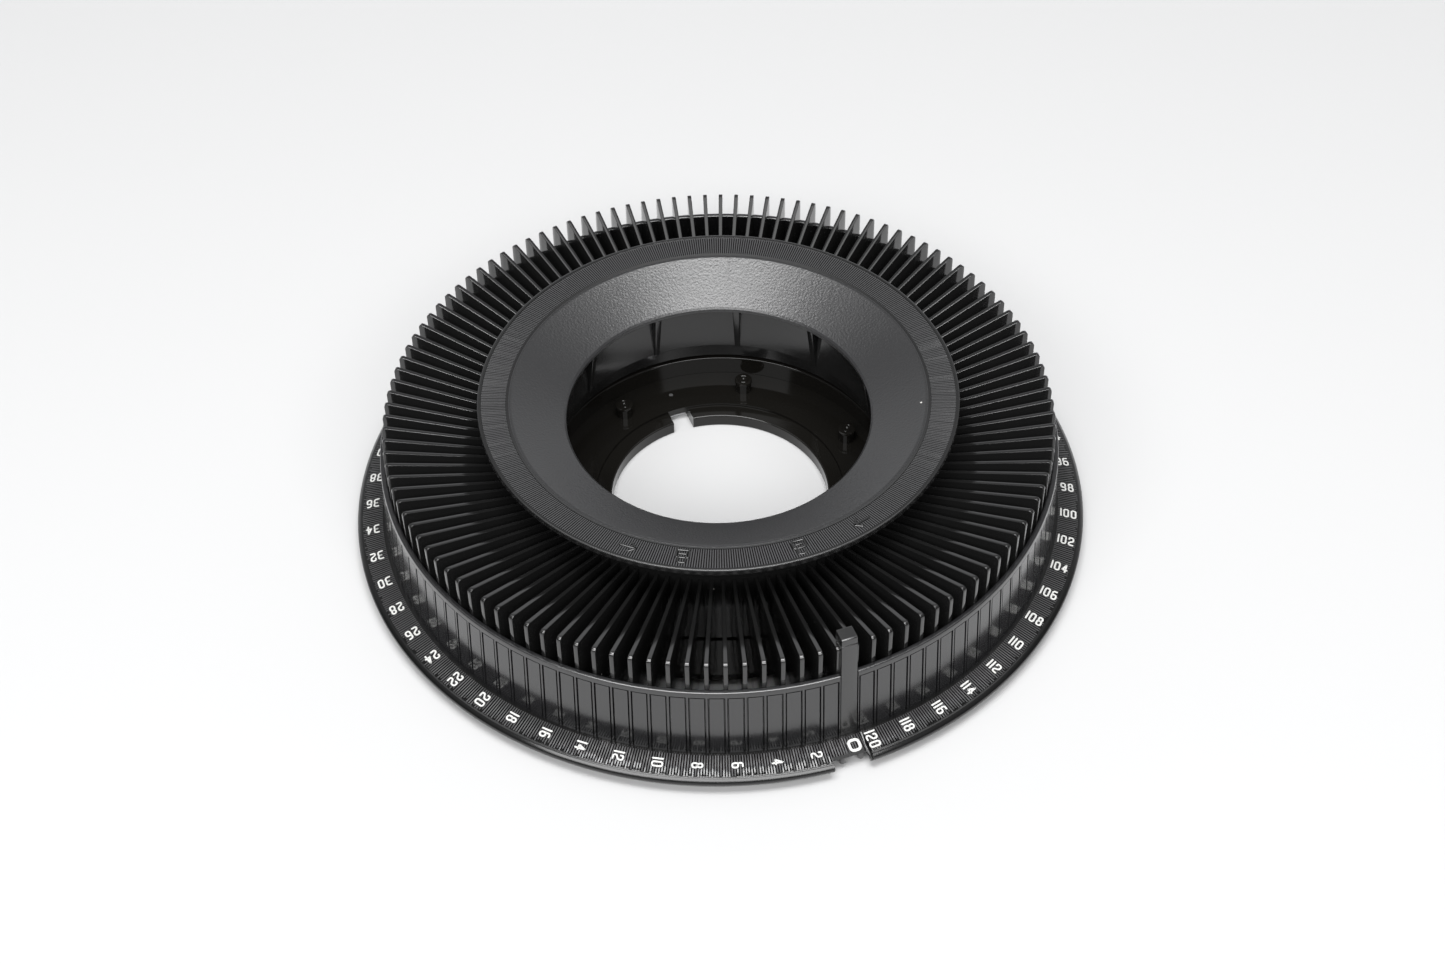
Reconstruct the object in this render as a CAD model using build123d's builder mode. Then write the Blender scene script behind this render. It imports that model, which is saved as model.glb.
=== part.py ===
"""Rotary slide tray: 120 numbered slots and position 0 round a hub with a lock ring and a turning base plate.

Millimetres. The origin is the centre of the plane that the tray stands on, +Z is up along the axis,
and position 0 is on -Y. Numbers grow clockwise seen from above.
"""

import os
from math import cos, radians, sin

from build123d import *

# Driving dimensions
POSITIONS = 121  # 120 slots and position 0
PITCH = 360 / POSITIONS
SLIDE_WIDTH = 30.0  # the small square mount that the slots take
SLIDE_PLAY = 0.45
SLOT_IN_R = 45.7
RIM_R = 85.0
FLOOR_Z = 3.74  # the slides stand on this level
GAP = 0.36  # between the turning plate and what hangs over it

# Outer shell
RIM_BOTTOM_Z = 1.92
RIM_TOP_Z = 3.74
RIM_BEAD_R = 84.45
RIM_BEAD_Z = 4.40
RIM_SKIN = 1.3
WALL_FOOT_R = 78.41
WALL_FOOT_Z = 5.61
WALL_TOP_R = 77.35
WALL_TOP_Z = 24.2
WALL_IN_R = SLOT_IN_R + SLIDE_WIDTH + SLIDE_PLAY
RIM_CUT_R = 82.7
RIM_CUT_ANGLES = (-93.8, -88.3)
SLIT_IN_R = 80.2
SLIT_W = 0.7

# Position 0
POST_W = 3.8
POST_INNER_W = 2.7
POST_FACE_R = (78.3, 76.75)  # at its foot and at its top
POST_IN_R = 75.3
POST_HEAD_IN_R = 73.4
POST_HEAD_LOW_Z = 32.25  # clear above the fins
POST_TOP_Z = 34.9
PEG_R = 0.8
PEG_AT_R = 81.9
PEG_ANGLES = (-92.0, -89.1)
PEG_LOW_Z = 1.2
PEG_TOP_Z = 3.3

# Fins
FIN_TIP_R = 76.1
FIN_TOP_Z = 31.95
FIN_SLOPE = 0.27  # the top edge falls towards the hub
FIN_CORNER = 0.9
FIN_OUT_T = 0.95
FIN_IN_T = 0.75

# Hub
HUB_LOW_Z = FLOOR_Z + GAP
SLOT_WALL_IN_R = 44.2
SLOT_WALL_TOP_Z = 32.4
HUB_WALL_OUT_R = 39.8
HUB_WALL_IN_R = 38.6
HUB_WALL_LOW_Z = 10.6
HUB_WALL_TOP_Z = 29.6
HUB_WEB_Z = (12.2, 13.8)
BEARING_WEB_IN_R = 41.66
BEARING_WEB_Z = (5.2, 6.7)
RIB_COUNT = 12
RIB_TOP_W = 1.8
RIB_LOW_W = 1.1
RIB_IN_R = 35.9
RIB_ANGLE = -90 + PITCH

# Bayonet
TAB_COUNT = 4
TAB_SPAN = 24.0
STOP_SPAN = 1.2
TAB_IN_R = 42.8
TAB_Z = (24.2, 25.8)
LUG_Z = (22.2, 23.9)
LUG_OUT_R = 43.8
LUG_SPAN = 24.0
LUG_REST_ANGLE = 27.0  # from the middle of a tab

# Lock ring
LIP_OUT_R = 54.3
LIP_TOP_Z = 36.3
LIP_LOW_Z = 34.6
LIP_IN_R = 47.0
LIP_IN_Z = 35.95
CONE_IN_R = 34.45
CONE_IN_Z = 29.9
CONE_SKIN = 1.7
SKIRT_R = (41.2, 42.4)
SKIRT_LOW_Z = LUG_Z[0]

# Base plate
PLATE_T = 1.7
PLATE_OUT_R = 55.8
PLATE_HOLE_R = 29.3
WINDOW_OUT_R = 61.5
SUPPORT_OUT_R = 75.3
GATE_W = 2.8
GATE_IN_R = 46.2
SPOKE_W = 6.0
SPOKE_ANGLES = (48, -48, 100, -100, 152, -152)  # from the gate
BEARING_R = (40.4, 41.6)
BEARING_TOP_Z = 8.6
SNAP_R = 42.9
SNAP_LOW_Z = BEARING_WEB_Z[1] + GAP

# Spindle collar and studs
SPINDLE_R = 25.5
COLLAR_TOP_Z = 3.23
COLLAR_FOOT_R = 38.0
KEY_W = 5.0
STUD_COUNT = 7
STUD_R = 1.7
STUD_AT_R = 34.8
STUD_ANGLE = 60.0
STUD_TOP_Z = 7.0
STUD_LOW_Z = 0.3

# Latch
BOLT_Z = (0.45, 1.65)
BOLT_W = 4.4
BOLT_Y = (30.4, 43.85)
TOOTH_T = 1.1
TOOTH_W = 4.0
TOOTH_TOP_Z = 4.9
TOOTH_ROOM = 1.9
BOLT_WINDOW_Y = (33.0, 40.2)
BOLT_WINDOW_W = 1.8
KEEPER_Y = (38.4, 41.4)
KEEPER_T = 0.35
KEEPER_FOOT_W = 2.2
LATCH_PEG_Y = 34.6
LATCH_PEG_R = 0.5
SPRING_R = 0.42
WIRE_R = 0.13
SPRING_PITCH = 0.6

PLATE_LOW_Z = FLOOR_Z - PLATE_T
ALL = 120.0  # longer than anything in the tray


def save(part, name):
    """Label a finished piece and write it as one STEP file."""
    part.label = name
    export_step(part, f"parts/{name}.step")


os.makedirs("parts", exist_ok=True)

# Outer shell: tapered wall, flange and rim in one revolved skin
with BuildPart() as outer_shell:
    with BuildSketch(Plane.XZ):
        with BuildLine():
            Polyline(
                (RIM_R, RIM_BOTTOM_Z),
                (RIM_R, RIM_TOP_Z),
                (RIM_BEAD_R, RIM_BEAD_Z),
                (WALL_FOOT_R, WALL_FOOT_Z),
                (WALL_TOP_R, WALL_TOP_Z),
                (WALL_IN_R, WALL_TOP_Z),
                (WALL_IN_R, RIM_BOTTOM_Z),
                (WALL_FOOT_R - 1, RIM_BOTTOM_Z),
                (WALL_FOOT_R, WALL_FOOT_Z - RIM_SKIN),
                (RIM_R - RIM_SKIN, RIM_BEAD_Z - RIM_SKIN),
                (RIM_R - RIM_SKIN, RIM_BOTTOM_Z),
                close=True,
            )
        make_face()
    revolve(axis=Axis.Z)
    with BuildSketch(Plane.XY):
        with BuildLine():
            Polyline(
                (0, 0),
                (ALL * cos(radians(RIM_CUT_ANGLES[0])), ALL * sin(radians(RIM_CUT_ANGLES[0]))),
                (ALL * cos(radians(RIM_CUT_ANGLES[1])), ALL * sin(radians(RIM_CUT_ANGLES[1]))),
                close=True,
            )
        make_face()
        Circle(RIM_CUT_R, mode=Mode.SUBTRACT)
        with PolarLocations(SLIT_IN_R + ALL / 2, 1, start_angle=RIM_CUT_ANGLES[1]):
            Rectangle(ALL, SLIT_W)
    extrude(amount=WALL_TOP_Z, mode=Mode.SUBTRACT)
    with Locations((0, -(POST_IN_R + ALL / 2), WALL_FOOT_Z + ALL / 2)):
        Box(POST_W, ALL, ALL, mode=Mode.SUBTRACT)
save(outer_shell.part, "outer_shell")

# Index post: fills the gap in the wall at position 0
with BuildPart() as index_post:
    with BuildSketch(Plane.YZ):
        with BuildLine():
            Polyline(
                (-WALL_IN_R, WALL_FOOT_Z),
                (-POST_FACE_R[0], WALL_FOOT_Z),
                (-POST_FACE_R[1], POST_TOP_Z),
                (-POST_HEAD_IN_R, POST_TOP_Z),
                (-POST_HEAD_IN_R, POST_HEAD_LOW_Z),
                (-WALL_IN_R, POST_HEAD_LOW_Z),
                close=True,
            )
        make_face()
    extrude(amount=POST_W / 2, both=True)
    with BuildSketch(Plane.XY.offset(WALL_FOOT_Z)):
        with Locations((0, -(WALL_IN_R + POST_IN_R) / 2)):
            Rectangle(POST_INNER_W, WALL_IN_R - POST_IN_R)
    extrude(amount=POST_HEAD_LOW_Z - WALL_FOOT_Z)
    chamfer(index_post.faces().sort_by(Axis.Z)[-1].edges().sort_by(Axis.Y)[0], 0.5)
save(index_post.part, "index_post")

# Index pegs under the rim cut-out
with BuildPart() as index_pegs:
    with BuildSketch(Plane.XY.offset(PEG_LOW_Z)):
        for angle in PEG_ANGLES:
            with Locations((PEG_AT_R * cos(radians(angle)), PEG_AT_R * sin(radians(angle)))):
                Circle(PEG_R)
    extrude(amount=PEG_TOP_Z - PEG_LOW_Z)
save(index_pegs.part, "index_pegs")

# One fin: a tapered blade whose top falls towards the hub, with a cut corner
with BuildPart() as fin:
    with BuildSketch(Plane.XZ):
        with BuildLine():
            Polyline(
                (SLOT_IN_R, HUB_LOW_Z),
                (WALL_IN_R, HUB_LOW_Z),
                (WALL_IN_R, WALL_TOP_Z),
                (FIN_TIP_R, FIN_TOP_Z - FIN_CORNER),
                (FIN_TIP_R - FIN_CORNER, FIN_TOP_Z - FIN_SLOPE * FIN_CORNER),
                (SLOT_IN_R, FIN_TOP_Z - FIN_SLOPE * (FIN_TIP_R - SLOT_IN_R)),
                close=True,
            )
        make_face()
    extrude(amount=FIN_OUT_T, both=True)
    with BuildSketch(Plane.XY):
        with BuildLine():
            Polyline(
                (SLOT_IN_R, -FIN_IN_T / 2),
                (WALL_IN_R, -FIN_OUT_T / 2),
                (WALL_IN_R, FIN_OUT_T / 2),
                (SLOT_IN_R, FIN_IN_T / 2),
                close=True,
            )
        make_face()
        Circle(WALL_IN_R, mode=Mode.INTERSECT)
    extrude(amount=ALL, mode=Mode.INTERSECT)

# Slot fins: one midway between every two positions
with BuildPart() as slot_fins:
    with PolarLocations(0, POSITIONS, start_angle=-90 + PITCH / 2):
        add(fin.part)
save(slot_fins.part, "slot_fins")

# Hub core: slot wall and hub wall, joined by a web, with a lower web that carries the plate
with BuildPart() as hub_core:
    with BuildSketch(Plane.XZ):
        with BuildLine():
            Polyline(
                (SLOT_IN_R, HUB_LOW_Z),
                (SLOT_IN_R, SLOT_WALL_TOP_Z),
                (SLOT_WALL_IN_R, SLOT_WALL_TOP_Z),
                (SLOT_WALL_IN_R, HUB_WEB_Z[1]),
                (HUB_WALL_OUT_R, HUB_WEB_Z[1]),
                (HUB_WALL_OUT_R, HUB_WALL_TOP_Z),
                (HUB_WALL_IN_R, HUB_WALL_TOP_Z),
                (HUB_WALL_IN_R, HUB_WALL_LOW_Z),
                (HUB_WALL_OUT_R, HUB_WALL_LOW_Z),
                (HUB_WALL_OUT_R, HUB_WEB_Z[0]),
                (SLOT_WALL_IN_R, HUB_WEB_Z[0]),
                (SLOT_WALL_IN_R, BEARING_WEB_Z[1]),
                (BEARING_WEB_IN_R, BEARING_WEB_Z[1]),
                (BEARING_WEB_IN_R, BEARING_WEB_Z[0]),
                (SLOT_WALL_IN_R, BEARING_WEB_Z[0]),
                (SLOT_WALL_IN_R, HUB_LOW_Z),
                close=True,
            )
        make_face()
    revolve(axis=Axis.Z)
    with Locations((0, SLOT_WALL_IN_R, HUB_LOW_Z)):
        Box(BOLT_W, 2 * TOOTH_ROOM, 2 * (TOOTH_TOP_Z - HUB_LOW_Z) + 0.2, mode=Mode.SUBTRACT)
save(hub_core.part, "hub_core")

# Hub ribs: tapered gussets on the hub wall
with BuildPart() as hub_rib:
    with BuildSketch(Plane.XZ):
        with BuildLine():
            Polyline(
                (RIB_IN_R, HUB_WALL_TOP_Z - 1),
                (HUB_WALL_IN_R, HUB_WALL_TOP_Z - 1),
                (HUB_WALL_IN_R, HUB_WALL_LOW_Z),
                (HUB_WALL_IN_R - 0.5, HUB_WALL_LOW_Z),
                close=True,
            )
        make_face()
    extrude(amount=RIB_TOP_W, both=True)
    with BuildSketch(Plane.YZ):
        with BuildLine():
            Polyline(
                (-RIB_TOP_W / 2, HUB_WALL_TOP_Z),
                (RIB_TOP_W / 2, HUB_WALL_TOP_Z),
                (RIB_LOW_W / 2, HUB_WALL_LOW_Z),
                (-RIB_LOW_W / 2, HUB_WALL_LOW_Z),
                close=True,
            )
        make_face()
    extrude(amount=ALL, mode=Mode.INTERSECT)
    with BuildSketch(Plane.XY):
        Circle(HUB_WALL_IN_R)
    extrude(amount=ALL, mode=Mode.INTERSECT)
with BuildPart() as hub_ribs:
    with PolarLocations(0, RIB_COUNT, start_angle=RIB_ANGLE):
        add(hub_rib.part)
save(hub_ribs.part, "hub_ribs")


def sector(inner_r, outer_r, middle_angle, span):
    """Sketch a piece of a ring, at an angle and with a span in degrees."""
    with BuildLine(mode=Mode.PRIVATE) as edge:
        start = middle_angle - span / 2
        inner = CenterArc((0, 0), inner_r, start, span)
        outer = CenterArc((0, 0), outer_r, start, span)
        Line(inner @ 0, outer @ 0)
        Line(inner @ 1, outer @ 1)
    return make_face(edge.edges(), mode=Mode.PRIVATE)


# Bayonet tabs on the slot wall, each with a stop at its closed end
with BuildPart() as bayonet_tabs:
    with BuildSketch(Plane.XY.offset(TAB_Z[0])):
        with PolarLocations(0, TAB_COUNT):
            add(sector(TAB_IN_R, SLOT_WALL_IN_R, 0, TAB_SPAN))
    extrude(amount=TAB_Z[1] - TAB_Z[0])
    with BuildSketch(Plane.XY.offset(LUG_Z[0])):
        with PolarLocations(0, TAB_COUNT, start_angle=(STOP_SPAN - TAB_SPAN) / 2):
            add(sector(TAB_IN_R, SLOT_WALL_IN_R, 0, STOP_SPAN))
    extrude(amount=TAB_Z[0] - LUG_Z[0])
save(bayonet_tabs.part, "bayonet_tabs")

# Lock ring: lip, cone and skirt in one revolved skin
CONE_SLOPE = (LIP_IN_Z - CONE_IN_Z) / (LIP_IN_R - CONE_IN_R)


def cone_under(r):
    """Height of the cone's underside at a radius."""
    return CONE_IN_Z + CONE_SLOPE * (r - CONE_IN_R) - CONE_SKIN


with BuildPart() as lock_ring:
    with BuildSketch(Plane.XZ):
        with BuildLine():
            Polyline(
                (LIP_IN_R, LIP_LOW_Z),
                (LIP_OUT_R - 0.3, LIP_LOW_Z),
                (LIP_OUT_R, LIP_LOW_Z + 0.3),
                (LIP_OUT_R, LIP_TOP_Z - 0.35),
                (LIP_OUT_R - 0.35, LIP_TOP_Z),
                (LIP_IN_R, LIP_IN_Z),
                (CONE_IN_R + 0.5, CONE_IN_Z + 0.5 * CONE_SLOPE),
                (CONE_IN_R, CONE_IN_Z - 0.4),
                (CONE_IN_R, CONE_IN_Z - 1.2),
                (CONE_IN_R + 0.4, CONE_IN_Z - CONE_SKIN + 0.1),
                (SKIRT_R[0], cone_under(SKIRT_R[0])),
                (SKIRT_R[0], SKIRT_LOW_Z),
                (SKIRT_R[1], SKIRT_LOW_Z),
                (SKIRT_R[1], cone_under(SKIRT_R[1])),
                close=True,
            )
        make_face()
    revolve(axis=Axis.Z)
save(lock_ring.part, "lock_ring")

# Lock lugs on the skirt, resting between the tabs
with BuildPart() as lock_lugs:
    with BuildSketch(Plane.XY.offset(LUG_Z[0])):
        with PolarLocations(0, TAB_COUNT, start_angle=LUG_REST_ANGLE):
            add(sector(SKIRT_R[1], LUG_OUT_R, 0, LUG_SPAN))
    extrude(amount=LUG_Z[1] - LUG_Z[0])
save(lock_lugs.part, "lock_lugs")

# Base plate: disc, open window, support ring, spokes and the gate
with BuildPart() as base_plate:
    with BuildSketch(Plane.XY.offset(PLATE_LOW_Z)):
        Circle(SUPPORT_OUT_R)
        Circle(WINDOW_OUT_R, mode=Mode.SUBTRACT)
        Circle(PLATE_OUT_R)
        for angle in SPOKE_ANGLES:
            with PolarLocations((PLATE_OUT_R + WINDOW_OUT_R) / 2, 1, start_angle=-90 + angle):
                Rectangle(WINDOW_OUT_R - PLATE_OUT_R + 2, SPOKE_W)
        Circle(PLATE_HOLE_R, mode=Mode.SUBTRACT)
        with Locations((0, -(GATE_IN_R + ALL / 2))):
            Rectangle(GATE_W, ALL, mode=Mode.SUBTRACT)
        with PolarLocations(STUD_AT_R, STUD_COUNT, start_angle=STUD_ANGLE):
            Circle(STUD_R, mode=Mode.SUBTRACT)
        with Locations((0, (BEARING_R[1] + SLOT_WALL_IN_R + TOOTH_ROOM) / 2)):
            Rectangle(BOLT_W, SLOT_WALL_IN_R + TOOTH_ROOM - BEARING_R[1], mode=Mode.SUBTRACT)
        with Locations((0, LATCH_PEG_Y)):
            Circle(LATCH_PEG_R, mode=Mode.SUBTRACT)
    extrude(amount=PLATE_T)
save(base_plate.part, "base_plate")

# Plate bearing: tube that turns in the lower web, with a snap lip over it
with BuildPart() as plate_bearing:
    with BuildSketch(Plane.XZ):
        with BuildLine():
            Polyline(
                (BEARING_R[0], FLOOR_Z),
                (BEARING_R[1], FLOOR_Z),
                (BEARING_R[1], SNAP_LOW_Z),
                (SNAP_R, SNAP_LOW_Z),
                (SNAP_R, SNAP_LOW_Z + 0.4),
                (BEARING_R[1], BEARING_TOP_Z),
                (BEARING_R[0], BEARING_TOP_Z),
                close=True,
            )
        make_face()
    revolve(axis=Axis.Z)
save(plate_bearing.part, "plate_bearing")

# Spindle collar: the ring that the tray stands on, with the key notch and the bolt's channel
with BuildPart() as spindle_collar:
    with BuildSketch(Plane.XZ):
        with BuildLine():
            Polyline(
                (SPINDLE_R, 0),
                (COLLAR_FOOT_R, 0),
                (COLLAR_FOOT_R, PLATE_LOW_Z),
                (PLATE_HOLE_R, PLATE_LOW_Z),
                (PLATE_HOLE_R, COLLAR_TOP_Z),
                (SPINDLE_R, COLLAR_TOP_Z),
                close=True,
            )
        make_face()
    revolve(axis=Axis.Z)
    with Locations((0, (SPINDLE_R + COLLAR_FOOT_R) / 2)):
        Box(KEY_W, COLLAR_FOOT_R - SPINDLE_R + 4, ALL, mode=Mode.SUBTRACT)
    with BuildSketch(Plane.XY):
        with PolarLocations(STUD_AT_R, STUD_COUNT, start_angle=STUD_ANGLE):
            Circle(STUD_R)
    extrude(amount=PLATE_LOW_Z, mode=Mode.SUBTRACT)
save(spindle_collar.part, "spindle_collar")

# Plate studs: pressed through the collar's foot and the plate
with BuildPart() as plate_studs:
    with BuildSketch(Plane.XY.offset(STUD_LOW_Z)):
        with PolarLocations(STUD_AT_R, STUD_COUNT, start_angle=STUD_ANGLE):
            Circle(STUD_R)
    extrude(amount=STUD_TOP_Z - STUD_LOW_Z)
    fillet(plate_studs.edges().group_by(Axis.Z)[-1], 0.4)
save(plate_studs.part, "plate_studs")

# Latch bolt: flat bolt with an upturned tooth and a window for its spring
with BuildPart() as latch_bolt:
    with BuildSketch(Plane.XY.offset(BOLT_Z[0])):
        with Locations((0, sum(BOLT_Y) / 2)):
            Rectangle(BOLT_W, BOLT_Y[1] - BOLT_Y[0])
        with Locations((0, sum(BOLT_WINDOW_Y) / 2)):
            Rectangle(BOLT_WINDOW_W, BOLT_WINDOW_Y[1] - BOLT_WINDOW_Y[0], mode=Mode.SUBTRACT)
    extrude(amount=BOLT_Z[1] - BOLT_Z[0])
    with BuildSketch(Plane.XY.offset(BOLT_Z[0])):
        with Locations((0, BOLT_Y[1] - TOOTH_T / 2)):
            Rectangle(TOOTH_W, TOOTH_T)
    extrude(amount=TOOTH_TOP_Z - BOLT_Z[0])
save(latch_bolt.part, "latch_bolt")

# Latch keeper: strap under the bolt that holds it up against the plate
with BuildPart() as latch_keeper:
    with BuildSketch(Plane.XZ.offset(-KEEPER_Y[1])):
        with Locations((0, PLATE_LOW_Z / 2)):
            Rectangle(BOLT_W + 2 * KEEPER_FOOT_W, PLATE_LOW_Z)
            Rectangle(BOLT_W + 0.2, PLATE_LOW_Z, mode=Mode.SUBTRACT)
        with Locations((0, KEEPER_T / 2)):
            Rectangle(BOLT_W + 2 * KEEPER_FOOT_W, KEEPER_T)
    extrude(amount=KEEPER_Y[1] - KEEPER_Y[0])
save(latch_keeper.part, "latch_keeper")

# Latch peg: fixed in the plate, inside the bolt's window
with BuildPart() as latch_peg:
    with BuildSketch(Plane.XY.offset(BOLT_Z[0])):
        with Locations((0, LATCH_PEG_Y)):
            Circle(LATCH_PEG_R)
    extrude(amount=FLOOR_Z - BOLT_Z[0])
save(latch_peg.part, "latch_peg")

# Latch spring: from the peg to the outer end of the bolt's window
SPRING_START = LATCH_PEG_Y + LATCH_PEG_R + WIRE_R
SPRING_END = BOLT_WINDOW_Y[1] - WIRE_R
with BuildPart() as latch_spring:
    with BuildLine():
        coil = Helix(SPRING_PITCH, SPRING_END - SPRING_START, SPRING_R,
                     center=(0, SPRING_START, sum(BOLT_Z) / 2), direction=(0, 1, 0))
    with BuildSketch(Plane(coil @ 0, z_dir=coil % 0)):
        Circle(WIRE_R)
    sweep(is_frenet=True)
save(latch_spring.part, "latch_spring")
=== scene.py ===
"""Rotary slide tray: the looks of the tray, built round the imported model.

Lengths are in millimetres and angles in degrees until a mesh is made. The tray's axis is Z and position 0 is on -Y.
"""

import logging
import math
from collections.abc import Callable
from dataclasses import dataclass, field
from enum import Enum

import bpy
import numpy as np
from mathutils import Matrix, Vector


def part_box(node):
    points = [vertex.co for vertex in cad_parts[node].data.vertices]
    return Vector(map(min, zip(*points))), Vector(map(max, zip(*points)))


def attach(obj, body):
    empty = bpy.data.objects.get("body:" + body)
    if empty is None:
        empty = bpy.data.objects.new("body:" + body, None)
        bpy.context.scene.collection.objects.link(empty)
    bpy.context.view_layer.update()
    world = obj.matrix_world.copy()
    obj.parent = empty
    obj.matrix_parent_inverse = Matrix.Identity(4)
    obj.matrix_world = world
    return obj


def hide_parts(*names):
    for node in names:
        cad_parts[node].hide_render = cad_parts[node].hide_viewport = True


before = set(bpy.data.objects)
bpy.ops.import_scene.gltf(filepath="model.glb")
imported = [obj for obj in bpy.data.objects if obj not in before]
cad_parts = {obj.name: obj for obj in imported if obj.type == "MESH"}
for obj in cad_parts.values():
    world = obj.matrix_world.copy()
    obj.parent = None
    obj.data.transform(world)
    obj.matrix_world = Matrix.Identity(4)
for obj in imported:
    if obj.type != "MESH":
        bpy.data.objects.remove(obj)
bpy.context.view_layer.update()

log = logging.getLogger("slide_tray")

Tree = bpy.types.NodeTree
Node = bpy.types.Node
Socket = bpy.types.NodeSocket
Colour = tuple[float, float, float]

MM = 0.001
POSITIONS = 121
PITCH = 360.0 / POSITIONS
ZERO_ANGLE = -90.0
COLUMNS = 4 * POSITIONS  # steps round a smooth ring


class Body(Enum):
    """The bodies that the pieces made here ride on."""

    TRAY = "tray"
    LOCK = "lock_ring_body"
    PLATE = "plate"


def reach(node: str) -> float:
    """Largest distance of a CAD node from the axis along X, in millimetres."""
    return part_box(node)[1][0] / MM


def low(node: str) -> float:
    """Lowest height of a CAD node, in millimetres."""
    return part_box(node)[0][2] / MM


def high(node: str) -> float:
    """Highest height of a CAD node, in millimetres."""
    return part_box(node)[1][2] / MM


def measured(measure: Callable[[str], float], node: str) -> float:
    """Returns a dataclass field that is measured on a CAD node when its class is made."""
    return field(default_factory=lambda: measure(node))


# ---------------------------------------------------------------- shapes


@dataclass
class Patch:
    """A set of points with quads and larger flat faces between them.

    Args:
        points: array of shape (n, 3), in millimetres.
        quads: array of shape (m, 4) of point numbers.
        caps: array of shape (k, c) of point numbers, for flat ends.
    """

    points: np.ndarray
    quads: np.ndarray
    caps: np.ndarray = field(default_factory=lambda: np.zeros((0, 3), int))

    def turned(self, angles: np.ndarray) -> "Patch":
        """Copies the patch round the Z axis.

        The points are multiplied by one rotation matrix for each angle.

        Args:
            angles: turn of each copy, in degrees.

        Returns:
            One patch that holds every copy.
        """
        t = np.radians(np.asarray(angles, float))
        zero, one = np.zeros_like(t), np.ones_like(t)
        turn = np.array([[np.cos(t), -np.sin(t), zero], [np.sin(t), np.cos(t), zero], [zero, zero, one]])
        points = np.einsum("ijk,nj->kni", turn, self.points).reshape(-1, 3)
        step = np.arange(len(t))[:, None, None] * len(self.points)
        quads = (self.quads[None] + step).reshape(-1, 4)
        caps = (self.caps[None] + step).reshape(-1, self.caps.shape[1])
        return Patch(points, quads, caps)

    def moved(self, offset: tuple[float, float, float]) -> "Patch":
        """Returns the patch moved by an offset."""
        return Patch(self.points + np.array(offset, float), self.quads, self.caps)

    def flipped(self) -> "Patch":
        """Returns the patch with its faces turned over."""
        return Patch(self.points, self.quads[:, ::-1], self.caps[:, ::-1])


def joined(patches: list[Patch]) -> Patch:
    """Puts patches side by side in one, with their faces renumbered.

    Args:
        patches: the patches, whose caps all have the same number of corners or none.

    Returns:
        The joined patch.
    """
    starts = np.cumsum([0] + [len(p.points) for p in patches[:-1]])
    points = np.concatenate([p.points for p in patches])
    quads = np.concatenate([p.quads + s for p, s in zip(patches, starts)])
    capped = [p.caps + s for p, s in zip(patches, starts) if len(p.caps)]
    return Patch(points, quads, np.concatenate(capped)) if capped else Patch(points, quads)


def lattice(points: np.ndarray, wrap_rows: bool = False, wrap_columns: bool = False, ends: bool = False) -> Patch:
    """Makes a grid of points into quads.

    Quad (i, j) joins points (i, j), (i, j+1), (i+1, j+1) and (i+1, j). Where the grid wraps, the numbers go round
    it.

    Args:
        points: array of shape (rows, columns, 3).
        wrap_rows: whether the last row meets the first.
        wrap_columns: whether the last column meets the first.
        ends: whether the first and last row are closed with flat faces.

    Returns:
        The patch.
    """
    rows, columns = points.shape[:2]
    number = np.arange(rows * columns).reshape(rows, columns)
    down = np.roll(number, -1, 0)
    right = np.roll(number, -1, 1)
    corner = np.roll(down, -1, 1)
    quads = np.stack([number, right, corner, down], -1)
    quads = quads[: rows if wrap_rows else rows - 1, : columns if wrap_columns else columns - 1].reshape(-1, 4)
    caps = np.array([number[0][::-1], number[-1]]) if ends else np.zeros((0, 3), int)
    return Patch(points.reshape(-1, 3), quads, caps)


def rounded(corners: list[tuple[float, float, float]], steps: int = 4) -> np.ndarray:
    """Rounds the corners of a closed outline.

    Each corner of radius r becomes points on an arc that touches both sides, at a distance r * tan(turn / 2) from
    the corner, with one more point a little further along each side to hold the flat shading of the sides.

    Args:
        corners: (x, z, radius) of each corner, in order.
        steps: number of steps along each arc.

    Returns:
        Array of outline points, of shape (n, 2).
    """
    place = np.array([c[:2] for c in corners], float)
    radius = np.array([c[2] for c in corners], float)
    before = np.roll(place, 1, 0) - place
    after = np.roll(place, -1, 0) - place
    reach_before = np.linalg.norm(before, axis=1)
    reach_after = np.linalg.norm(after, axis=1)
    before /= reach_before[:, None]
    after /= reach_after[:, None]
    opening = np.arccos(np.clip((before * after).sum(1), -1, 1))
    cut = np.minimum(radius / np.tan(opening / 2), 0.45 * np.minimum(reach_before, reach_after))
    share = np.linspace(0, 1, steps + 1)[None, :, None]
    start = (place + before * cut[:, None])[:, None]
    end = (place + after * cut[:, None])[:, None]
    # A rational quadratic curve with this middle weight is an exact arc.
    weight = np.sin(opening / 2)[:, None, None]
    blend_mid = 2 * share * (1 - share) * weight
    total = (1 - share) ** 2 + blend_mid + share**2
    arc = ((1 - share) ** 2 * start + blend_mid * place[:, None] + share**2 * end) / total
    hold_before = start + before[:, None] * np.minimum(cut * 0.5, 0.2 * reach_before)[:, None, None]
    hold_after = end + after[:, None] * np.minimum(cut * 0.5, 0.2 * reach_after)[:, None, None]
    return np.concatenate([hold_before, arc, hold_after], 1).reshape(-1, 2)


def revolved(outline: np.ndarray, columns: int, start: float = 0.0) -> np.ndarray:
    """Turns an outline round the axis.

    Point (i, j) is outline point i at angle start + 360 * j / columns.

    Args:
        outline: array of (radius, height).
        columns: number of steps round the axis.
        start: angle of the first column.

    Returns:
        Array of shape (outline points, columns, 3).
    """
    angle = np.radians(start + np.arange(columns) * 360.0 / columns)
    return polar(outline[:, :1], angle[None], outline[:, 1:])


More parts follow.
